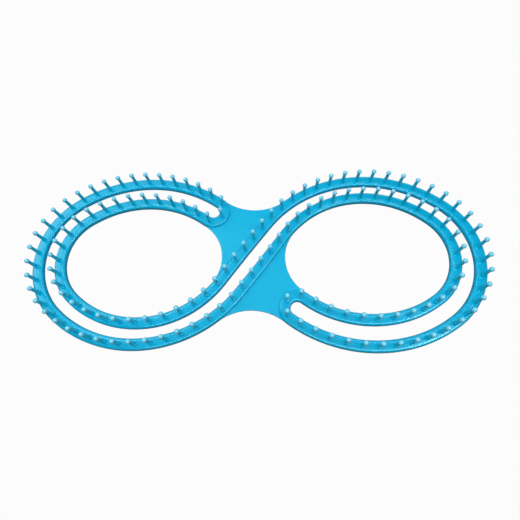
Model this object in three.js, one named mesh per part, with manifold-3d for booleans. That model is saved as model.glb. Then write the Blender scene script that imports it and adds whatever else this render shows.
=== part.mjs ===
// Knitting board: one blue moulded frame with two oval loops and a row of pegs on each side of a slot.
// The slot is one long S that starts inside the left loop, crosses the middle and ends inside the right
// loop, and the pegs stand on a closed line round it. A half turn about Z maps the board on itself.
// Millimetres, +Z up. The origin is the middle of the board, on the surface that it lies on.

import * as THREE from "three";
import { mergeVertices } from "three/addons/utils/BufferGeometryUtils.js";
import Module from "manifold-3d";

const wasm = await Module();
wasm.setup();

// Slot centreline, from the middle of the board to its right end. The left half is the same, turned round.
const DIAGONAL_ANGLE = THREE.MathUtils.degToRad(53.5); // of the straight middle stretch, from +X
const DIAGONAL_HALF = 51.3; // from the middle to the start of the first bend
const FIRST_BEND_RADIUS = 153.9; // the long side of the loop that leaves the diagonal
const FIRST_BEND_TURN = THREE.MathUtils.degToRad(94.2);
const END_BEND_RADIUS = 86.8; // the round end of the loop
const END_BEND_TURN = THREE.MathUtils.degToRad(103.9);
const LAST_BEND_RADIUS = 163.2; // the long side that comes back to the middle
const LAST_BEND_TURN = THREE.MathUtils.degToRad(71.2);

// Distance from the centreline to each row of pegs. The rows draw in a little on the first bend.
const ROW_AT_MIDDLE = 15.6;
const ROW_ON_FIRST_BEND = 13.5;
const ROW_AT_END = 16.4;
const FIRST_BEND_PLACE = 0.25; // share of the half slot where the rows are closest
const LAST_BEND_PLACE = 0.75; // share of the half slot from where they keep their end distance

// Rail section: an upside-down channel with a flat top and rounded shoulders. Its sides lean in a little.
const RAIL_FOOT_WIDTH = 15.6;
const RAIL_HEIGHT = 6.8;
const SHOULDER_RADIUS = 2.6;
const SIDE_LEAN = 0.1;
const SIDE_WALL = 2;
const TOP_WALL = 2;

// Pegs, all alike.
const PEGS_PER_HALF = 69;
const PEG_BASE_RADIUS = 3.2;
const PEG_NECK_RADIUS = 2;
const PEG_NECK_HEIGHT = 22; // from the rail's top to the neck
const HEAD_RADIUS = 3.2;
const HEAD_WIDEST_AT = 0.35; // share of the head's height
const HEAD_CROWN_RADIUS = 2.2;
const HEAD_CROWN_AT = 0.85; // share of the head's height
const HEAD_HEIGHT = 5.6; // from the neck to the top of the head
const TENON_RADIUS = 2.2;
const TENON_LENGTH = 4.5;
const SOCKET_CLEARANCE = 0.3;
const PEGS_IN_SOCKETS = 27; // pegs along each loop's outer rail, from the slot's end, that stand in sockets

// The frame is one moulding and is divided between pegs into runs of rail. On each half turn they are, in
// this order from the left end of the slot: half a ring round that end, the left loop's outer rail, the
// diagonal's lower rail, the right loop's inner rail and half a ring round the right end.
const RING_REACH = 1.5; // pegs from the tip of a ring to its ends
const OUTER_RAIL_PEGS = 30;
const DIAGONAL_PEGS = 12;

// Gusset plates, one on each side of the diagonal, each with two round bites. A plate follows the diagonal's
// rail this far along the slot from the middle.
const PLATE_THICKNESS = 3;
const PLATE_REACH_BETWEEN_LOOPS = 92;
const PLATE_REACH_IN_LOOP = 72;

// Facets.
const PEG_SIDES = 7;
const SHOULDER_FACETS = 2;
const RAIL_SECTIONS_PER_PEG = 1;
const RING_SECTIONS_PER_PEG = 4;
const CAP_SECTIONS = 10; // round one slot end, on the plates' hidden edge
const BITE_SIDES = 64;
const LINE_STEP = 2; // spacing of the points that measure the peg line

const SINK = 1; // how far joined solids run into each other, and cutters past a face
const SAME_POINT = 1e-4; // points closer than this are one

const BLUE = new THREE.Color().setRGB(0.01, 0.64, 0.84, THREE.SRGBColorSpace);
const GLOSS_ROUGHNESS = 0.28;

// Worked out from the values above.
const BENDS = [
  { radius: FIRST_BEND_RADIUS, turn: FIRST_BEND_TURN },
  { radius: END_BEND_RADIUS, turn: END_BEND_TURN },
  { radius: LAST_BEND_RADIUS, turn: LAST_BEND_TURN },
];
const SLOT_HALF = BENDS.reduce((length, bend) => length + bend.radius * bend.turn, DIAGONAL_HALF);
const SOCKET_RADIUS = TENON_RADIUS + SOCKET_CLEARANCE;
const PEG_COUNT = 2 * PEGS_PER_HALF;
const OUTER_RAIL_END = RING_REACH + OUTER_RAIL_PEGS;
const DIAGONAL_END = OUTER_RAIL_END + DIAGONAL_PEGS;
const INNER_RAIL_END = PEGS_PER_HALF - RING_REACH;

// A place on the slot's centreline: its point and the direction that the slot runs in.
function slotPlace(distance) {
  const point = new THREE.Vector2();
  let heading = DIAGONAL_ANGLE;
  let left = Math.abs(distance);
  const straight = Math.min(left, DIAGONAL_HALF);
  point.x += straight * Math.cos(heading);
  point.y += straight * Math.sin(heading);
  left -= straight;
  for (const { radius, turn } of BENDS) {
    const angle = Math.min(left / radius, turn);
    const chord = 2 * radius * Math.sin(angle / 2);
    point.x += chord * Math.cos(heading - angle / 2);
    point.y += chord * Math.sin(heading - angle / 2);
    heading -= angle;
    left -= angle * radius;
  }
  if (distance < 0) point.negate();
  return { point, heading };
}

function rowOffset(distance) {
  const share = Math.abs(distance) / SLOT_HALF;
  const drawIn = THREE.MathUtils.smoothstep(share, 0, FIRST_BEND_PLACE);
  const drawOut = THREE.MathUtils.smoothstep(share, FIRST_BEND_PLACE, LAST_BEND_PLACE);
  const nearMiddle = THREE.MathUtils.lerp(ROW_AT_MIDDLE, ROW_ON_FIRST_BEND, drawIn);
  return THREE.MathUtils.lerp(nearMiddle, ROW_AT_END, drawOut);
}

// A point of the peg line beside the slot, on its right-hand (+1) or left-hand (-1) side.
function rowPoint(distance, side) {
  const { point, heading } = slotPlace(distance);
  const offset = side * rowOffset(distance);
  return new THREE.Vector2(point.x + offset * Math.sin(heading), point.y - offset * Math.cos(heading));
}

// A half circle of the peg line round one slot end, without its two end points.
function capPoints(end, count) {
  const { point, heading } = slotPlace(end * SLOT_HALF);
  const start = end < 0 ? heading + Math.PI / 2 : heading - Math.PI / 2;
  return Array.from({ length: count - 1 }, (_, i) => {
    const angle = start + (Math.PI * (i + 1)) / count;
    return new THREE.Vector2(
      point.x + rowOffset(SLOT_HALF) * Math.cos(angle),
      point.y + rowOffset(SLOT_HALF) * Math.sin(angle),
    );
  });
}

// The closed peg line as closely spaced points, anticlockwise round the slot, from the tip of the ring round
// its left end to that tip again.
function pegLine() {
  const runSteps = Math.ceil((2 * SLOT_HALF) / LINE_STEP);
  const halfCapSteps = Math.ceil((Math.PI * ROW_AT_END) / (2 * LINE_STEP));
  const distances = Array.from({ length: runSteps + 1 }, (_, i) => SLOT_HALF * ((2 * i) / runSteps - 1));
  const leftCap = capPoints(-1, 2 * halfCapSteps);
  return [
    ...leftCap.slice(halfCapSteps - 1),
    ...distances.map((distance) => rowPoint(distance, 1)),
    ...capPoints(1, 2 * halfCapSteps),
    ...distances.reverse().map((distance) => rowPoint(distance, -1)),
    ...leftCap.slice(0, halfCapSteps),
  ];
}

const line = pegLine();
const reached = [0];
for (let i = 1; i < line.length; i += 1) {
  reached.push(reached[i - 1] + line[i].distanceTo(line[i - 1]));
}
const pitch = reached.at(-1) / PEG_COUNT;

function linePoint(length) {
  const wrapped = THREE.MathUtils.euclideanModulo(length, reached.at(-1));
  const segment = reached.findIndex((end) => end > wrapped) - 1;
  const share = (wrapped - reached[segment]) / (reached[segment + 1] - reached[segment]);
  return line[segment].clone().lerp(line[segment + 1], share);
}

// The place of a peg on the line and the direction that the line runs in there. The pegs are evenly spaced,
// and peg 0 is at the tip of the left ring. A fraction is a place between two pegs.
function pegPlace(peg) {
  const along = linePoint(peg * pitch + LINE_STEP).sub(linePoint(peg * pitch - LINE_STEP)).normalize();
  return { point: linePoint(peg * pitch), along };
}

// Sweeps a convex section of [outward, up] points along the peg line, from one peg number to another.
function sweep(section, { from, to, sectionsPerPeg }) {
  const steps = Math.ceil((to - from) * sectionsPerPeg);
  const positions = [];
  const indices = [];
  for (let i = 0; i <= steps; i += 1) {
    const { point, along } = pegPlace(THREE.MathUtils.lerp(from, to, i / steps));
    for (const [outward, up] of section) {
      positions.push(point.x + outward * along.y, point.y - outward * along.x, up);
    }
  }
  for (let i = 0; i < steps; i += 1) {
    section.forEach((_, j) => {
      const a = i * section.length + j;
      const b = i * section.length + ((j + 1) % section.length);
      const c = a + section.length;
      const d = b + section.length;
      indices.push(a, c, b, b, c, d);
    });
  }
  const end = steps * section.length;
  for (let j = 1; j < section.length - 1; j += 1) {
    indices.push(0, j, j + 1, end, end + j + 1, end + j);
  }
  const geometry = new THREE.BufferGeometry();
  geometry.setAttribute("position", new THREE.Float32BufferAttribute(positions, 3));
  geometry.setIndex(indices);
  return geometry;
}

function mirroredSection(halfPoints) {
  return [...halfPoints, ...halfPoints.map(([outward, up]) => [-outward, up]).reverse()];
}

function solid(geometry) {
  const bare = geometry.clone();
  bare.deleteAttribute("normal");
  bare.deleteAttribute("uv");
  const merged = mergeVertices(bare, SAME_POINT);
  return new wasm.Manifold(
    new wasm.Mesh({
      numProp: 3,
      vertProperties: new Float32Array(merged.attributes.position.array),
      triVerts: new Uint32Array(merged.index.array),
    }),
  );
}

function geometryOf(body) {
  const { vertProperties, triVerts } = body.getMesh();
  const geometry = new THREE.BufferGeometry();
  geometry.setAttribute("position", new THREE.Float32BufferAttribute(vertProperties, 3));
  geometry.setIndex([...triVerts]);
  geometry.computeVertexNormals();
  return geometry;
}

function railBlank(run) {
  const shoulderCentre = RAIL_FOOT_WIDTH / 2 - SIDE_LEAN - SHOULDER_RADIUS;
  const shoulder = Array.from({ length: SHOULDER_FACETS + 1 }, (_, i) => {
    const angle = (Math.PI / 2) * (i / SHOULDER_FACETS);
    return [
      shoulderCentre + SHOULDER_RADIUS * Math.cos(angle),
      RAIL_HEIGHT - SHOULDER_RADIUS + SHOULDER_RADIUS * Math.sin(angle),
    ];
  });
  return solid(sweep(mirroredSection([[RAIL_FOOT_WIDTH / 2, 0], ...shoulder]), run));
}

// The hollow under a run of rail. It goes on past both ends, so that the run is open there.
function railChannel({ from, to, sectionsPerPeg }) {
  const section = mirroredSection([
    [RAIL_FOOT_WIDTH / 2 - SIDE_WALL, -SINK],
    [RAIL_FOOT_WIDTH / 2 - SIDE_LEAN - SIDE_WALL, RAIL_HEIGHT - TOP_WALL],
  ]);
  const past = 1 / sectionsPerPeg;
  return solid(sweep(section, { from: from - past, to: to + past, sectionsPerPeg }));
}

function roundCutter({ x, y }, radius, bottom, top, sides) {
  const geometry = new THREE.CylinderGeometry(radius, radius, top - bottom, sides).rotateX(Math.PI / 2);
  return solid(geometry.translate(x, y, (bottom + top) / 2));
}

// A round bite in the upper plate. It leaves the foot of the diagonal's upper rail at a distance from the
// middle and runs smoothly into the ring of rail round the slot's left end. Each touching point is moved
// under its rail a little.
function plateBite(distance) {
  const ringCentre = slotPlace(-SLOT_HALF).point;
  const ringRadius = ROW_AT_END + RAIL_FOOT_WIDTH / 2;
  const { heading } = slotPlace(distance);
  const outward = new THREE.Vector2(-Math.sin(heading), Math.cos(heading));
  const leaving = rowPoint(distance, -1).addScaledVector(outward, RAIL_FOOT_WIDTH / 2);
  const fromRing = leaving.clone().sub(ringCentre);
  const radius = (fromRing.lengthSq() - ringRadius ** 2) / (2 * (ringRadius - outward.dot(fromRing)));
  const centre = leaving.clone().addScaledVector(outward, radius);
  const ringSide = centre.clone().sub(ringCentre).setLength(ringRadius - SINK).add(ringCentre);
  const railSide = leaving.addScaledVector(outward, -SINK);
  return { centre, radius, ringSide, railSide };
}

// The upper plate. Its outline is hidden under the rails except where the bites are.
function plate() {
  const betweenLoops = plateBite(PLATE_REACH_BETWEEN_LOOPS);
  const inLoop = plateBite(-PLATE_REACH_IN_LOOP);
  const corners = [
    betweenLoops.ringSide,
    betweenLoops.railSide,
    rowPoint(PLATE_REACH_BETWEEN_LOOPS, -1),
    rowPoint(DIAGONAL_HALF, -1),
    rowPoint(-DIAGONAL_HALF, -1),
    rowPoint(-PLATE_REACH_IN_LOOP, -1),
    inLoop.railSide,
    inLoop.ringSide,
    rowPoint(-SLOT_HALF, -1),
    ...capPoints(-1, CAP_SECTIONS),
    rowPoint(-SLOT_HALF, 1),
  ];
  const blank = new THREE.ExtrudeGeometry(new THREE.Shape(corners), {
    depth: PLATE_THICKNESS,
    bevelEnabled: false,
  });
  let body = solid(blank);
  for (const { centre, radius } of [betweenLoops, inLoop]) {
    body = body.subtract(roundCutter(centre, radius, -SINK, PLATE_THICKNESS + SINK, BITE_SIDES));
  }
  return body;
}

// One peg as a turned solid that stands on the rail's top, with what it has below that as a profile.
function pegGeometry(below) {
  const outline = [
    ...below,
    [PEG_BASE_RADIUS, 0],
    [PEG_NECK_RADIUS, PEG_NECK_HEIGHT],
    [HEAD_RADIUS, PEG_NECK_HEIGHT + HEAD_WIDEST_AT * HEAD_HEIGHT],
    [HEAD_CROWN_RADIUS, PEG_NECK_HEIGHT + HEAD_CROWN_AT * HEAD_HEIGHT],
    [0, PEG_NECK_HEIGHT + HEAD_HEIGHT],
  ];
  const points = outline.map(([radius, height]) => new THREE.Vector2(radius, height));
  return new THREE.LatheGeometry(points, PEG_SIDES).rotateX(Math.PI / 2);
}

const loosePeg = pegGeometry([[0, -TENON_LENGTH], [TENON_RADIUS, -TENON_LENGTH], [TENON_RADIUS, 0]]);
const mouldedPeg = solid(pegGeometry([[0, -SINK], [PEG_BASE_RADIUS, -SINK]]));

// Number of a peg among those of its loop that stand in sockets. The others have a number out of range.
function socketNumber(peg) {
  return (peg % PEGS_PER_HALF) - Math.floor(RING_REACH);
}

function inSocket(peg) {
  return socketNumber(peg) >= 1 && socketNumber(peg) <= PEGS_IN_SOCKETS;
}

// A part of the frame: runs of rail, with a plate between them if there is one.
function framePart(runs, plates = []) {
  let body = wasm.Manifold.union([...runs.map(railBlank), ...plates]);
  for (const run of runs) {
    body = body.subtract(railChannel(run));
    for (let peg = Math.ceil(run.from); peg < run.to; peg += 1) {
      const { point } = pegPlace(peg);
      if (inSocket(peg)) {
        const socketBottom = RAIL_HEIGHT - TOP_WALL - SINK;
        body = body.subtract(roundCutter(point, SOCKET_RADIUS, socketBottom, RAIL_HEIGHT + SINK, PEG_SIDES));
      } else {
        body = body.add(mouldedPeg.translate([point.x, point.y, RAIL_HEIGHT]));
      }
    }
  }
  return body;
}

function plastic() {
  return new THREE.MeshStandardMaterial({ color: BLUE, roughness: GLOSS_ROUGHNESS, metalness: 0 });
}

function named(name, geometry) {
  const mesh = new THREE.Mesh(geometry, plastic());
  mesh.name = name;
  return mesh;
}

const outerRail = { from: RING_REACH, to: OUTER_RAIL_END, sectionsPerPeg: RAIL_SECTIONS_PER_PEG };
const diagonalRail = { from: OUTER_RAIL_END, to: DIAGONAL_END, sectionsPerPeg: RAIL_SECTIONS_PER_PEG };
const innerRail = { from: DIAGONAL_END, to: INNER_RAIL_END, sectionsPerPeg: RAIL_SECTIONS_PER_PEG };
const rightRing = {
  from: PEGS_PER_HALF - RING_REACH,
  to: PEGS_PER_HALF + RING_REACH,
  sectionsPerPeg: RING_SECTIONS_PER_PEG,
};

const leftOuter = framePart([outerRail]);
const lowerMiddle = framePart([diagonalRail, rightRing], [plate().rotate([0, 0, 180])]);
const rightInner = framePart([innerRail]);

const board = new THREE.Group();
board.add(
  named("frame_left_outer", geometryOf(leftOuter)),
  named("frame_left_inner", geometryOf(rightInner.rotate([0, 0, 180]))),
  named("frame_upper_middle", geometryOf(lowerMiddle.rotate([0, 0, 180]))),
  named("frame_lower_middle", geometryOf(lowerMiddle)),
  named("frame_right_inner", geometryOf(rightInner)),
  named("frame_right_outer", geometryOf(leftOuter.rotate([0, 0, 180]))),
);

for (let peg = 0; peg < PEG_COUNT; peg += 1) {
  if (!inSocket(peg)) continue;
  const loop = peg < PEGS_PER_HALF ? "left" : "right";
  const mesh = named(`peg_${loop}_${String(socketNumber(peg)).padStart(2, "0")}`, loosePeg);
  const { point } = pegPlace(peg);
  mesh.position.set(point.x, point.y, RAIL_HEIGHT);
  board.add(mesh);
}

console.log(`peg pitch ${pitch.toFixed(2)} mm`);

export default board;
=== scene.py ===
# %% [markdown]
# # A knitting board
# The board is one blue plastic moulding in the shape of an eight, with 138 pegs pressed into it. Wool is
# wound round the pegs of two rows, and the knitting grows down through the slot between them. The slot is
# one long S: it starts inside the left loop, crosses the middle and ends inside the right loop.
#
# Nearly everything follows one closed line that runs round the slot, the line the pegs stand on. So the
# lesson makes that line first. The rail is a section swept along it, and the pegs are copies placed on it.

# %% The frame to build in
import math

import bmesh
import bpy
from mathutils import Matrix, Vector


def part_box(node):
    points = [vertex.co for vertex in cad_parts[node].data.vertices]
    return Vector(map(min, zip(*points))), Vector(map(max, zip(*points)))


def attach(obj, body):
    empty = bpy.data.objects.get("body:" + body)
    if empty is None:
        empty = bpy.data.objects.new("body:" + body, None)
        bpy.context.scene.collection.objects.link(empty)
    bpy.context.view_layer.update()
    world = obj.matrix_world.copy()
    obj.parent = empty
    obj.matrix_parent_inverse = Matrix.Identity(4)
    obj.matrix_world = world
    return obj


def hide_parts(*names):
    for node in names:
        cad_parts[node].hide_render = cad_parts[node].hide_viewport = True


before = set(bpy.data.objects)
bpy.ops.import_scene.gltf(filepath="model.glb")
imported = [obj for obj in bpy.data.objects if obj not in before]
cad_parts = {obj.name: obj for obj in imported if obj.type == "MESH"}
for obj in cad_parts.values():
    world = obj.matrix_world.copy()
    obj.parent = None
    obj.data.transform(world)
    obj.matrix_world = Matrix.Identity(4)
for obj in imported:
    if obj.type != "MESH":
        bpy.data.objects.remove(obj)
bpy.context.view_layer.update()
MM = 0.001
loose_pegs = sorted(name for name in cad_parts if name.startswith("peg_"))
frame_parts = sorted(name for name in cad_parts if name.startswith("frame_"))
print(f"{len(frame_parts)} nodes make up the moulding, and {len(loose_pegs)} pegs are nodes of their own")

# %% [markdown]
# ## The line of the pegs
# The slot's centreline could be drawn by hand as a Bezier curve, but then its two halves would differ a
# little. The real one was drawn with a straight stretch and arcs that run into each other. Six numbers give
# those arcs for the right half, and a half turn gives the left half.
#
# The rows of pegs don't keep quite the same distance from the centreline: they draw in on the first bend
# and out again towards the slot's end. A smooth step between three distances does that.

# %% The slot's centreline
DIAGONAL_ANGLE = math.radians(53.5)
DIAGONAL_HALF = 51.3
BENDS = (
    (153.9, math.radians(94.2)),
    (86.8, math.radians(103.9)),
    (163.2, math.radians(71.2)),
)
SLOT_HALF = DIAGONAL_HALF + sum(radius * turn for radius, turn in BENDS)


def slot_place(distance):
    """The point on the centreline that far from the middle, and the direction the slot runs in there."""
    left = abs(distance)
    heading = DIAGONAL_ANGLE
    point = min(left, DIAGONAL_HALF) * Vector((math.cos(heading), math.sin(heading)))
    left -= min(left, DIAGONAL_HALF)
    for radius, turn in BENDS:
        angle = min(left / radius, turn)
        chord = 2 * radius * math.sin(angle / 2)
        point += chord * Vector((math.cos(heading - angle / 2), math.sin(heading - angle / 2)))
        heading -= angle
        left -= angle * radius
    return (point if distance >= 0 else -point), heading


print(f"the slot is {2 * SLOT_HALF:.0f} mm long")

# %% The rows beside it
ROW_AT_MIDDLE = 15.6
ROW_ON_FIRST_BEND = 13.5
ROW_AT_END = 16.4
FIRST_BEND_PLACE = 0.25
LAST_BEND_PLACE = 0.75


def smooth_step(value, start, end):
    share = min(max((value - start) / (end - start), 0), 1)
    return share * share * (3 - 2 * share)


def row_offset(distance):
    share = abs(distance) / SLOT_HALF
    offset = ROW_AT_MIDDLE + (ROW_ON_FIRST_BEND - ROW_AT_MIDDLE) * smooth_step(share, 0, FIRST_BEND_PLACE)
    return offset + (ROW_AT_END - offset) * smooth_step(share, FIRST_BEND_PLACE, LAST_BEND_PLACE)


def to_the_left(heading):
    return Vector((-math.sin(heading), math.cos(heading)))


def row_point(distance, side):
    """A point of the peg line on the slot's right-hand side (1) or left-hand side (-1)."""
    point, heading = slot_place(distance)
    return point - side * row_offset(distance) * to_the_left(heading)


def end_ring(end, start, stop, step):
    """Points of the peg line round one end of the slot, from one share of its half circle to another."""
    centre, heading = slot_place(end * SLOT_HALF)
    first = heading + (math.pi / 2 if end < 0 else -math.pi / 2)
    count = max(2, round((stop - start) * math.pi * ROW_AT_END / step))
    angles = [first + math.pi * (start + (stop - start) * i / count) for i in range(count)]
    return [centre + ROW_AT_END * Vector((math.cos(a), math.sin(a))) for a in angles]


# %% The closed line, from the tip round the slot's left end
RUN_STEP = 4
RING_STEP = 1.4


def peg_line():
    count = round(2 * SLOT_HALF / RUN_STEP)
    places = [SLOT_HALF * (2 * i / count - 1) for i in range(count + 1)]
    return [
        *end_ring(-1, 0.5, 1, RING_STEP),
        *(row_point(place, 1) for place in places[:-1]),
        *end_ring(1, 0, 1, RING_STEP),
        *(row_point(place, -1) for place in places[:0:-1]),
        *end_ring(-1, 0, 0.5, RING_STEP),
    ]


line = peg_line()
length = sum((b - a).length for a, b in zip(line, line[1:] + line[:1]))
print(f"the peg line has {len(line)} points and is {length:.0f} mm long")

# %% [markdown]
# ## Node trees from Python
# A tree of nodes is easier to read as a formula. The class below holds one output socket. Python's + and *
# on it add Math nodes, and its node method adds any other node: settings first, then the sockets.


# %% A socket that can be calculated with
class Wire:
    """An output socket of a node tree, or the tree alone. Each operator adds one Math node."""

    def __init__(self, tree, socket=None):
        self.tree = tree
        self.socket = socket

    def node(self, kind, settings=None, inputs=None, output=0):
        made = self.tree.nodes.new(kind)
        for name, value in (settings or {}).items():
            setattr(made, name, value)
        for key, value in (inputs or {}).items():
            if isinstance(value, Wire):
                self.tree.links.new(value.socket, made.inputs[key])
            else:
                made.inputs[key].default_value = value
        return Wire(self.tree, made.outputs[output] if made.outputs else None)

    def maths(self, operation, first, second):
        return self.node("ShaderNodeMath", {"operation": operation}, {0: first, 1: second})

    def __add__(self, other):
        return self.maths("ADD", self, other)

    def __radd__(self, other):
        return self.maths("ADD", other, self)

    def __mul__(self, other):
        return self.maths("MULTIPLY", self, other)

    def __rmul__(self, other):
        return self.maths("MULTIPLY", other, self)


# %% A modifier from a tree with named inputs
def geometry_tree(name, inputs):
    """A new geometry tree and its wires: the incoming geometry and one for each named input."""
    tree = bpy.data.node_groups.new(name, "GeometryNodeTree")
    tree.interface.new_socket("Geometry", in_out="INPUT", socket_type="NodeSocketGeometry")
    for label, socket_type in inputs.items():
        tree.interface.new_socket(label, in_out="INPUT", socket_type=socket_type)
    tree.interface.new_socket("Geometry", in_out="OUTPUT", socket_type="NodeSocketGeometry")
    start = Wire(tree)
    wires = {label: start.node("NodeGroupInput", output=label) for label in ("Geometry", *inputs)}
    return start, wires


def run_tree(name, source, tree, values):
    """Runs the tree on a curve or mesh object and gives the result as a plain mesh object."""
    modifier = source.modifiers.new(name, "NODES")
    modifier.node_group = tree
    for item in tree.interface.items_tree:
        if item.in_out == "INPUT" and item.name in values:
            modifier[item.identifier] = values[item.name]
    graph = bpy.context.evaluated_depsgraph_get()
    mesh = bpy.data.meshes.new_from_object(source.evaluated_get(graph), depsgraph=graph)
    mesh.name = name
    source.modifiers.remove(modifier)
    made = bpy.data.objects.new(name, mesh)
    bpy.context.scene.collection.objects.link(made)
    print(name, "has", len(mesh.polygons), "faces")
    return made


# %% [markdown]
# ## Blue plastic
# The moulding and the pegs are glossy blue plastic. One flat colour would look like paint, so three small
# things vary over the surface: the tint drifts a little where the plastic flowed and cooled, the gloss has
# slightly duller patches, and a very fine unevenness makes the highlights waver. Two things go by height:
# the plates are satin up to their own top, and the heads of the pegs are painted pale, a painted highlight
# for the light from above. The pegs are also painted a lighter blue than the moulding, painted light on
# their shafts.

# %% The plastic
RAIL_BLUE = (0, 0.41, 0.68, 1)
RAIL_PALE = (0, 0.45, 0.74, 1)
PLATE_BLUE = (0, 0.42, 0.69, 1)
PLATE_PALE = (0, 0.46, 0.75, 1)
# Painted light: the pegs are the moulding's plastic, painted a lighter blue for the light on their shafts.
PEG_BLUE_PAINTED_LIGHT = (0, 0.64, 0.92, 1)
# Painted highlight: the heads are painted pale for the light that falls on them from above.
HEAD_PAINTED_HIGHLIGHT = (0.22, 0.72, 0.96, 1)
SHEEN_TINT = (0.45, 1, 1, 1)
IOR = 1.75
GLOSS = 0.16
DULLER = 0.05
SATIN = 0.2
HEAD_SATIN = 0.3
FLOW_SIZE = 45 * MM
PATCH_SIZE = 12 * MM
RIPPLE_SIZE = 6 * MM
RIPPLE_HEIGHT = 0.001 * MM
FLOW_DETAIL = 3
FINE_DETAIL = 2
PLATE_TOP = (3.0, 3.4)
HEAD_START = (28.6, 30.0)


def noise(wire, place, size, detail):
    return wire.node("ShaderNodeTexNoise", inputs={"Vector": place, "Scale": 1 / size, "Detail": detail})


def blend(wire, share, first, second):
    """A mix of two colours, whose sockets are the mix node's inputs 6 and 7 and its output 2."""
    colours = {0: share, 6: first, 7: second}
    return wire.node("ShaderNodeMix", {"data_type": "RGBA"}, colours, output=2)


def plastic(name, low_tints, high_tints, low_satin, high_satin, change):
    """Plastic with two tints and a roughness below the heights in change, and others above them."""
    material = bpy.data.materials.new(name)
    material.use_nodes = True
    tree = material.node_tree
    tree.nodes.clear()
    start = Wire(tree)
    place = start.node("ShaderNodeTexCoord", output="Object")
    height = start.node("ShaderNodeSeparateXYZ", inputs={0: place}, output="Z")
    above = start.node(
        "ShaderNodeMapRange",
        {"interpolation_type": "SMOOTHSTEP"},
        {"Value": height, "From Min": change[0] * MM, "From Max": change[1] * MM},
    )
    flow = noise(start, place, FLOW_SIZE, FLOW_DETAIL)
    low, high = (blend(start, flow, deep, pale) for deep, pale in (low_tints, high_tints))
    satin = low_satin + (high_satin - low_satin) * above
    roughness = satin + DULLER * noise(start, place, PATCH_SIZE, FINE_DETAIL)
    unevenness = noise(start, place, RIPPLE_SIZE, FINE_DETAIL)
    ripple = start.node("ShaderNodeBump", inputs={"Height": unevenness, "Distance": RIPPLE_HEIGHT})
    surface = start.node(
        "ShaderNodeBsdfPrincipled",
        inputs={
            "Base Color": blend(start, above, low, high),
            "Roughness": roughness,
            "Normal": ripple,
            "IOR": IOR,
            "Specular Tint": SHEEN_TINT,
        },
    )
    start.node("ShaderNodeOutputMaterial", inputs={"Surface": surface})
    return material


plates = (PLATE_BLUE, PLATE_PALE)
rails = (RAIL_BLUE, RAIL_PALE)
# The pegs' colours: painted light on the shafts and a painted highlight on the heads.
shafts_painted_light = (PEG_BLUE_PAINTED_LIGHT, PEG_BLUE_PAINTED_LIGHT)
heads_painted_highlight = (HEAD_PAINTED_HIGHLIGHT, HEAD_PAINTED_HIGHLIGHT)
board_plastic = plastic("board_plastic", plates, rails, SATIN, GLOSS, PLATE_TOP)
# The pegs' plastic is painted lighter than the moulding and has painted highlights on the heads.
peg_plastic = plastic("peg_plastic", shafts_painted_light, heads_painted_highlight, GLOSS, HEAD_SATIN, HEAD_START)

# %% [markdown]
# ## The plates beside the diagonal
# Two thin plates tie the loops to the diagonal. Each has two round bites, and each bite leaves the
# diagonal's rail at a tangent and runs into the ring round the slot's end at a tangent too. A circle that
# does both has only one radius, so it is worked out and not guessed. The outline is extruded, its rims are
# rounded with a bevel, and a narrow inset keeps the rounding from shading the flat top.

# %% The round bites
RAIL_FOOT_WIDTH = 15.38
REACH_BETWEEN_LOOPS = 92
REACH_IN_LOOP = 72
BITE_STEP = 2


def plate_bite(distance):
    """Centre, radius and the two touching points of a bite in the upper plate."""
    ring_centre, _ = slot_place(-SLOT_HALF)
    ring_radius = ROW_AT_END + RAIL_FOOT_WIDTH / 2
    _, heading = slot_place(distance)
    outward = to_the_left(heading)
    leaving = row_point(distance, -1) + outward * RAIL_FOOT_WIDTH / 2
    from_ring = leaving - ring_centre
    radius = (from_ring.length_squared - ring_radius**2) / (2 * (ring_radius - outward.dot(from_ring)))
    centre = leaving + outward * radius
    arriving = ring_centre + (centre - ring_centre).normalized() * ring_radius
    return centre, radius, leaving, arriving


def arc(centre, start, end, step):
    """Points of the short arc from start to end."""
    first = start - centre
    sweep = first.angle_signed(end - centre)
    count = round(abs(sweep) * first.length / step)
    return [centre + Matrix.Rotation(-sweep * i / count, 2) @ first for i in range(count + 1)]


# %% One plate
PLATE_THICKNESS = 3
PLATE_ROUNDING = 0.8
ROUNDING_STEPS = 3
RIM_INSET = 0.5
FLAT = 0.999


def mesh_object(name, mesh_maker):
    """An object at the origin with the mesh that mesh_maker puts in a bmesh, in millimetres."""
    shape = bmesh.new()
    mesh_maker(shape)
    bmesh.ops.scale(shape, vec=(MM, MM, MM), verts=shape.verts)
    mesh = bpy.data.meshes.new(name)
    shape.to_mesh(mesh)
    shape.free()
    made = bpy.data.objects.new(name, mesh)
    bpy.context.scene.collection.objects.link(made)
    return made


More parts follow.
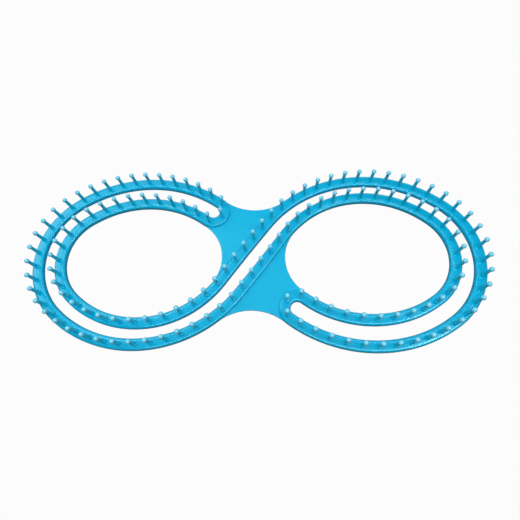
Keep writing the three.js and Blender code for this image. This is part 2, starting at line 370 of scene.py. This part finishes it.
def upper_plate(shape):
    centre_a, radius_a, leaving_a, arriving_a = plate_bite(REACH_BETWEEN_LOOPS)
    centre_b, radius_b, leaving_b, arriving_b = plate_bite(-REACH_IN_LOOP)
    rail_steps = round((REACH_BETWEEN_LOOPS + REACH_IN_LOOP) / RUN_STEP)
    along = [
        REACH_BETWEEN_LOOPS - (REACH_BETWEEN_LOOPS + REACH_IN_LOOP) * i / rail_steps
        for i in range(rail_steps + 1)
    ]
    outline = [
        *arc(centre_a, arriving_a, leaving_a, BITE_STEP),
        *(row_point(distance, -1) for distance in along),
        *arc(centre_b, leaving_b, arriving_b, BITE_STEP),
        *end_ring(-1, 0, 1, RING_STEP),
        row_point(-SLOT_HALF, 1),
    ]
    print(f"the bites have radii of {radius_a:.1f} and {radius_b:.1f} mm")
    bottom = shape.faces.new([shape.verts.new((*point, 0)) for point in outline])
    extruded = bmesh.ops.extrude_face_region(shape, geom=[bottom])["geom"]
    raised = [item for item in extruded if isinstance(item, bmesh.types.BMVert)]
    bmesh.ops.translate(shape, vec=(0, 0, PLATE_THICKNESS), verts=raised)
    bmesh.ops.recalc_face_normals(shape, faces=shape.faces)
    rims = [edge for edge in shape.edges if edge.verts[0].co.z == edge.verts[1].co.z]
    bmesh.ops.bevel(
        shape, geom=rims, offset=PLATE_ROUNDING, segments=ROUNDING_STEPS, profile=0.5, affect="EDGES"
    )
    flats = [face for face in shape.faces if abs(face.normal.z) > FLAT]
    bmesh.ops.inset_region(shape, faces=flats, thickness=RIM_INSET)


plate = mesh_object("plate", upper_plate)

# %% [markdown]
# ## The moulding
# The rail is hollow underneath, as thin-walled mouldings are: an upside-down channel with steep sides,
# rounded shoulders and a top that bulges a little, so that light slides over it from the shoulders to the
# middle. Sweeping the whole section at once would leave the plates' edges poking into the hollow. So the
# tree makes a solid rail, joins both plates to it, and then cuts the channel out of everything.
#
# The shoulder's arc and the top's arc have to meet smoothly. They do where both centres and the meeting
# point lie on one line, which gives the radius of the top.

# %% The sections of the rail and of its channel
RAIL_HEIGHT = 6.8
RAIL_TOP_WIDTH = 15.08
SHOULDER_RADIUS = 3.0
SHOULDER_STEPS = 7
BULGE = math.radians(5)
BULGE_STEPS = 6
SIDE_WALL = 2
TOP_WALL = 2
CUT_DEPTH = 1


def curve_object(name, points):
    curve = bpy.data.curves.new(name, "CURVE")
    curve.dimensions = "3D"
    spline = curve.splines.new("POLY")
    spline.points.add(len(points) - 1)
    for control, point in zip(spline.points, points):
        control.co = (point.x * MM, point.y * MM, 0, 1)
    spline.use_cyclic_u = True
    made = bpy.data.objects.new(name, curve)
    bpy.context.scene.collection.objects.link(made)
    return made


def section(name, foot_width, top_width, height, rounding, sink):
    """An outline to sweep. It is drawn head down, because the sweep turns a section over."""
    top_radius = rounding + (top_width / 2 - rounding) / math.sin(BULGE)
    shoulder = Vector((math.sin(BULGE), math.cos(BULGE))) * (top_radius - rounding)
    half = [Vector((-foot_width / 2, height + sink))]
    for step in range(SHOULDER_STEPS):
        angle = math.pi / 2 + (BULGE - math.pi / 2) * step / SHOULDER_STEPS
        reach = shoulder + Vector((math.sin(angle), math.cos(angle))) * rounding
        half.append(Vector((-reach.x, top_radius - reach.y)))
    for step in range(BULGE_STEPS // 2):
        angle = BULGE * (1 - 2 * step / BULGE_STEPS)
        half.append(Vector((-math.sin(angle), 1 - math.cos(angle))) * top_radius)
    other_half = [Vector((-point.x, point.y)) for point in reversed(half)]
    outline = [*half, Vector((0, 0)), *other_half]
    return curve_object(name, [Vector((point.x, point.y - height)) for point in outline])


rail_section = section(
    "rail_section",
    RAIL_FOOT_WIDTH,
    RAIL_TOP_WIDTH,
    RAIL_HEIGHT,
    SHOULDER_RADIUS,
    0,
)
channel_section = section(
    "channel_section",
    RAIL_FOOT_WIDTH - 2 * SIDE_WALL,
    RAIL_TOP_WIDTH - 2 * SIDE_WALL,
    RAIL_HEIGHT - TOP_WALL,
    SHOULDER_RADIUS / 2,
    CUT_DEPTH,
)


# %% The tree for the moulding
def moulding_tree():
    inputs = {label: "NodeSocketObject" for label in ("Section", "Channel", "Plate")}
    inputs["Material"] = "NodeSocketMaterial"
    start, wire = geometry_tree("Moulding", inputs)
    path = start.node("GeometryNodeSetCurveNormal", {"mode": "Z_UP"}, {"Curve": wire["Geometry"]})

    def shape_of(label):
        return start.node("GeometryNodeObjectInfo", inputs={"Object": wire[label]}, output="Geometry")

    solid, channel = (
        start.node("GeometryNodeCurveToMesh", inputs={"Curve": path, "Profile Curve": shape_of(label)})
        for label in ("Section", "Channel")
    )
    one = shape_of("Plate")
    other = start.node("GeometryNodeTransform", inputs={"Geometry": one, "Rotation": (0, 0, math.pi)})
    union = start.tree.nodes.new("GeometryNodeMeshBoolean")
    union.operation = "UNION"
    union.solver = "MANIFOLD"
    for part in (solid, one, other):
        start.tree.links.new(part.socket, union.inputs["Mesh 2"])
    hollowed = start.node(
        "GeometryNodeMeshBoolean",
        {"operation": "DIFFERENCE", "solver": "MANIFOLD"},
        {"Mesh 1": Wire(start.tree, union.outputs["Mesh"]), "Mesh 2": channel},
    )
    painted = start.node(
        "GeometryNodeSetMaterial", inputs={"Geometry": hollowed, "Material": wire["Material"]}
    )
    start.node("NodeGroupOutput", inputs={"Geometry": painted})
    return start.tree


# %% Running it
MOULDING_EDGE = math.radians(35)

peg_curve = curve_object("peg_line", line)
moulding = run_tree(
    "moulding",
    peg_curve,
    moulding_tree(),
    {
        "Section": rail_section,
        "Channel": channel_section,
        "Plate": plate,
        "Material": board_plastic,
    },
)
for used in (plate, rail_section, channel_section):
    bpy.data.objects.remove(used)
moulding.data.shade_smooth()
moulding.data.set_sharp_from_angle(angle=MOULDING_EDGE)
low, high = Vector(moulding.bound_box[0]), Vector(moulding.bound_box[6])
print("the moulding spans", [round(size / MM, 1) for size in high - low], "mm")

# %% [markdown]
# ## The pegs
# A peg is a turned shape: a flared foot, a slim tapered shaft and a head like a small ball, so that wool
# slips over it but doesn't slip off. Its outline is a list of rings, and the head's rings come from an
# ellipse. The tenon below the foot goes through the rail's top. One peg is made, and a tree places 138
# copies at even spacing on the line.

# %% One peg
FOOT_RADIUS = 3.2
NECK_RADIUS = 2
NECK_HEIGHT = 22
HEAD_RADIUS = 3.2
HEAD_HEIGHT = 5.6
HEAD_WIDEST_AT = 0.35
FLARE_HEIGHT = 2.4
FLARE_SHARE = 0.55
SHAFT_END = 0.3
TENON_RADIUS = 2.2
TENON_LENGTH = 4.5
SEAT = 0.2
PEG_SIDES = 16
FLARE_STEPS = 4
HEAD_STEPS = 5
PEG_EDGE = math.radians(50)


def peg_outline():
    """Rings from the tenon to just below the crown, as (radius, height above the rail)."""
    rings = [(TENON_RADIUS, -TENON_LENGTH), (TENON_RADIUS, -SEAT), (FOOT_RADIUS, -SEAT)]
    flare = FLARE_SHARE * (FOOT_RADIUS - NECK_RADIUS)
    for step in range(FLARE_STEPS + 1):
        share = step / FLARE_STEPS
        rings.append((FOOT_RADIUS - flare * share * (2 - share), FLARE_HEIGHT * share))
    rings.append((NECK_RADIUS, NECK_HEIGHT - SHAFT_END))
    widest = NECK_HEIGHT + HEAD_WIDEST_AT * HEAD_HEIGHT
    neck_angle = math.acos(NECK_RADIUS / HEAD_RADIUS)
    under = (widest - NECK_HEIGHT) / math.sin(neck_angle)
    for step in range(HEAD_STEPS):
        angle = -neck_angle * (1 - step / HEAD_STEPS)
        rings.append((HEAD_RADIUS * math.cos(angle), widest + under * math.sin(angle)))
    over = NECK_HEIGHT + HEAD_HEIGHT - widest
    for step in range(HEAD_STEPS):
        angle = math.pi / 2 * step / HEAD_STEPS
        rings.append((HEAD_RADIUS * math.cos(angle), widest + over * math.sin(angle)))
    return rings


def peg(shape):
    angles = [2 * math.pi * i / PEG_SIDES for i in range(PEG_SIDES)]
    rings = [
        [shape.verts.new((radius * math.cos(a), radius * math.sin(a), height)) for a in angles]
        for radius, height in peg_outline()
    ]
    crown = shape.verts.new((0, 0, NECK_HEIGHT + HEAD_HEIGHT))
    shape.faces.new(rings[0])
    for lower, upper in zip(rings, rings[1:]):
        for i in range(PEG_SIDES):
            j = (i + 1) % PEG_SIDES
            shape.faces.new((lower[i], lower[j], upper[j], upper[i]))
    for i in range(PEG_SIDES):
        shape.faces.new((rings[-1][i], rings[-1][(i + 1) % PEG_SIDES], crown))
    bmesh.ops.recalc_face_normals(shape, faces=shape.faces)


one_peg = mesh_object("one_peg", peg)
print("one peg has", len(one_peg.data.polygons), "faces")

# %% The tree that places them
PEG_COUNT = 138


def pegs_tree():
    inputs = {
        "Count": "NodeSocketInt",
        "Standing Height": "NodeSocketFloat",
        "Peg": "NodeSocketObject",
        "Material": "NodeSocketMaterial",
    }
    start, wire = geometry_tree("Pegs", inputs)
    places = start.node(
        "GeometryNodeResampleCurve", inputs={"Curve": wire["Geometry"], "Count": wire["Count"]}
    )
    up = start.node("ShaderNodeCombineXYZ", inputs={"Z": wire["Standing Height"]})
    raised = start.node("GeometryNodeSetPosition", inputs={"Geometry": places, "Offset": up})
    shape = start.node("GeometryNodeObjectInfo", inputs={"Object": wire["Peg"]}, output="Geometry")
    copies = start.node("GeometryNodeInstanceOnPoints", inputs={"Points": raised, "Instance": shape})
    real = start.node("GeometryNodeRealizeInstances", inputs={"Geometry": copies})
    painted = start.node(
        "GeometryNodeSetMaterial", inputs={"Geometry": real, "Material": wire["Material"]}
    )
    start.node("NodeGroupOutput", inputs={"Geometry": painted})
    return start.tree


pegs = run_tree(
    "pegs",
    peg_curve,
    pegs_tree(),
    {
        "Count": PEG_COUNT,
        "Standing Height": RAIL_HEIGHT * MM,
        "Peg": one_peg,
        "Material": peg_plastic,
    },
)
bpy.data.objects.remove(one_peg)
bpy.data.objects.remove(peg_curve)
pegs.data.shade_smooth()
pegs.data.set_sharp_from_angle(angle=PEG_EDGE)

# %% How well they stand on the frame's own pegs
JUST_UNDER = 0.01
crown_height = (RAIL_HEIGHT + NECK_HEIGHT + HEAD_HEIGHT - JUST_UNDER) * MM
crowns = [vertex.co for vertex in pegs.data.vertices if vertex.co.z > crown_height]
worst = 0
for name in loose_pegs:
    low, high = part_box(name)
    middle = Vector(((low[0] + high[0]) / 2, (low[1] + high[1]) / 2))
    worst = max(worst, min((crown.xy - middle).length for crown in crowns))
print(f"{len(crowns)} pegs, at most {worst / MM:.2f} mm from the frame's")

# %% [markdown]
# ## Joining the frame
# Both pieces stand for solids of the frame. Nothing on the board moves, so both ride on its one body.

# %% What stands for what
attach(moulding, "root")
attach(pegs, "root")
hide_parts(*frame_parts)
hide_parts(*loose_pegs)

# %% [markdown]
# ## Floor, light and camera
# The board lies on white. A floor that is lit to pure white would throw too much light back on the plastic,
# so the floor is grey underneath, and what the camera sees of it is lifted to white. The lift leaves a
# little of the floor itself, which keeps the board's shadow. What the plastic mirrors of the floor is lifted
# much less, or its steep walls would look milky. The world beyond the floor is lifted in the same way.

# %% The floor and the world
FLOOR_REACH = 6000
FLOOR_DROP = 0.05
FLOOR_GREY = (0.12, 0.12, 0.12, 1)
WHITE = (1, 1, 1, 1)
LIFT = 0.97
GLOSSY_SHARE = 0.05
WORLD_GREY = 0.05


def seen_white(start, lit, glow):
    """The shader lit, but nearly white to the camera and to clear surfaces, and a bit paler in a gloss."""
    path = {
        name: start.node("ShaderNodeLightPath", output=name)
        for name in ("Is Camera Ray", "Is Glossy Ray", "Is Transmission Ray")
    }
    white = start.node(glow, inputs={"Color": WHITE, "Strength": 1})
    glossy = path["Is Glossy Ray"] * GLOSSY_SHARE
    seen = (path["Is Camera Ray"] + glossy + path["Is Transmission Ray"]) * LIFT
    return start.node("ShaderNodeMixShader", inputs={0: seen, 1: lit, 2: white})


floor_material = bpy.data.materials.new("floor")
floor_material.use_nodes = True
floor_material.node_tree.nodes.clear()
start = Wire(floor_material.node_tree)
lit = start.node("ShaderNodeBsdfDiffuse", inputs={"Color": FLOOR_GREY})
start.node("ShaderNodeOutputMaterial", inputs={"Surface": seen_white(start, lit, "ShaderNodeEmission")})


def floor_face(shape):
    corners = [(-1, -1), (1, -1), (1, 1), (-1, 1)]
    shape.faces.new([shape.verts.new((x * FLOOR_REACH, y * FLOOR_REACH, -FLOOR_DROP)) for x, y in corners])


floor = mesh_object("floor", floor_face)
floor.data.materials.append(floor_material)

world = bpy.data.worlds.new("studio")
bpy.context.scene.world = world
world.use_nodes = True
world.node_tree.nodes.clear()
start = Wire(world.node_tree)
dim = start.node("ShaderNodeBackground", inputs={"Color": WHITE, "Strength": WORLD_GREY})
start.node("ShaderNodeOutputWorld", inputs={"Surface": seen_white(start, dim, "ShaderNodeBackground")})


# %% [markdown]
# Gloss shows where each lamp stands. The mirror images of the two lamps over the loops would lie in the
# loops' openings, so the tops stay blue there and only the shoulders catch them. The panels are mirrored by
# the tops of the left loop, which look paler. The front lamp draws lines on the shoulders and gives no light
# otherwise. The fill gives most of the light and isn't mirrored.

# %% The lamps
def softbox(name, place, size, brightness, lights=True, mirrored=True):
    """A soft lamp that faces the middle of the board. With a brightness of 1 it looks white itself."""
    lamp = bpy.data.lights.new(name, "AREA")
    lamp.shape = "RECTANGLE"
    lamp.size, lamp.size_y = size
    lamp.energy = brightness * math.pi * size[0] * size[1]
    made = bpy.data.objects.new(name, lamp)
    made.location = place
    made.rotation_mode = "QUATERNION"
    made.rotation_quaternion = (-Vector(place)).to_track_quat("-Z", "Y")
    made.visible_diffuse = lights
    made.visible_glossy = mirrored
    bpy.context.scene.collection.objects.link(made)


softbox("over the left loop", (-0.69, 0.53, 1.5), (0.64, 0.12), 5)
softbox("over the right loop", (0.55, 0.5, 1.5), (0.64, 0.12), 3.5)
softbox("right front", (1.05, -0.36, 1.5), (0.7, 0.45), 6)
softbox("left panel", (-1.28, 0.54, 1.3), (0.8, 0.6), 2)
softbox("far left panel", (-0.75, 1.0, 1.3), (0.7, 0.4), 0.8)
softbox("back panel", (-0.31, 0.62, 1.6), (0.75, 0.35), 0.25)
softbox("left", (-1.45, 0.65, 0.63), (0.8, 0.6), 2)
softbox("behind", (0, 1.7, 1.0), (2.6, 0.9), 0.7)
softbox("right", (1.3, 1.1, 0.35), (0.5, 0.5), 2)
softbox("front", (0.3, -0.75, 1.6), (2.0, 0.5), 5.5, lights=False)
softbox("fill", (-0.1, -0.15, 1.6), (1.6, 1.6), 2.9, mirrored=False)

# %% [markdown]
# The camera's place and turn come from the picture of the board itself: its height, its two lengths and the
# places of the peg heads leave only one viewpoint. The board is tilted a little in the picture because the
# camera is rolled. The lens is wide and close, so the near side is larger than the far side.

# %% The camera
CAMERA_PLACE = (31.3 * MM, -177.6 * MM, 499.5 * MM)
CAMERA_TURN = math.radians(-7.89)
CAMERA_DROP = math.radians(67.51)
CAMERA_ROLL = math.radians(-7.56)
LENS = 26.73
SENSOR_WIDTH = 36
FRAMING_SHIFT = (0.0079, -0.0384)

ahead = Vector(
    (
        math.sin(CAMERA_TURN) * math.cos(CAMERA_DROP),
        math.cos(CAMERA_TURN) * math.cos(CAMERA_DROP),
        -math.sin(CAMERA_DROP),
    )
)
level = Vector((math.cos(CAMERA_TURN), -math.sin(CAMERA_TURN), 0))
over = level.cross(ahead)
right = math.cos(CAMERA_ROLL) * level + math.sin(CAMERA_ROLL) * over
up = -math.sin(CAMERA_ROLL) * level + math.cos(CAMERA_ROLL) * over

camera = bpy.data.objects.new("camera", bpy.data.cameras.new("camera"))
camera.data.lens = LENS
camera.data.sensor_width = SENSOR_WIDTH
camera.data.shift_x, camera.data.shift_y = FRAMING_SHIFT
camera.matrix_world = Matrix((right, up, -ahead)).transposed().to_4x4()
camera.location = CAMERA_PLACE
bpy.context.scene.collection.objects.link(camera)
bpy.context.scene.camera = camera
bpy.context.scene.view_settings.view_transform = "Standard"
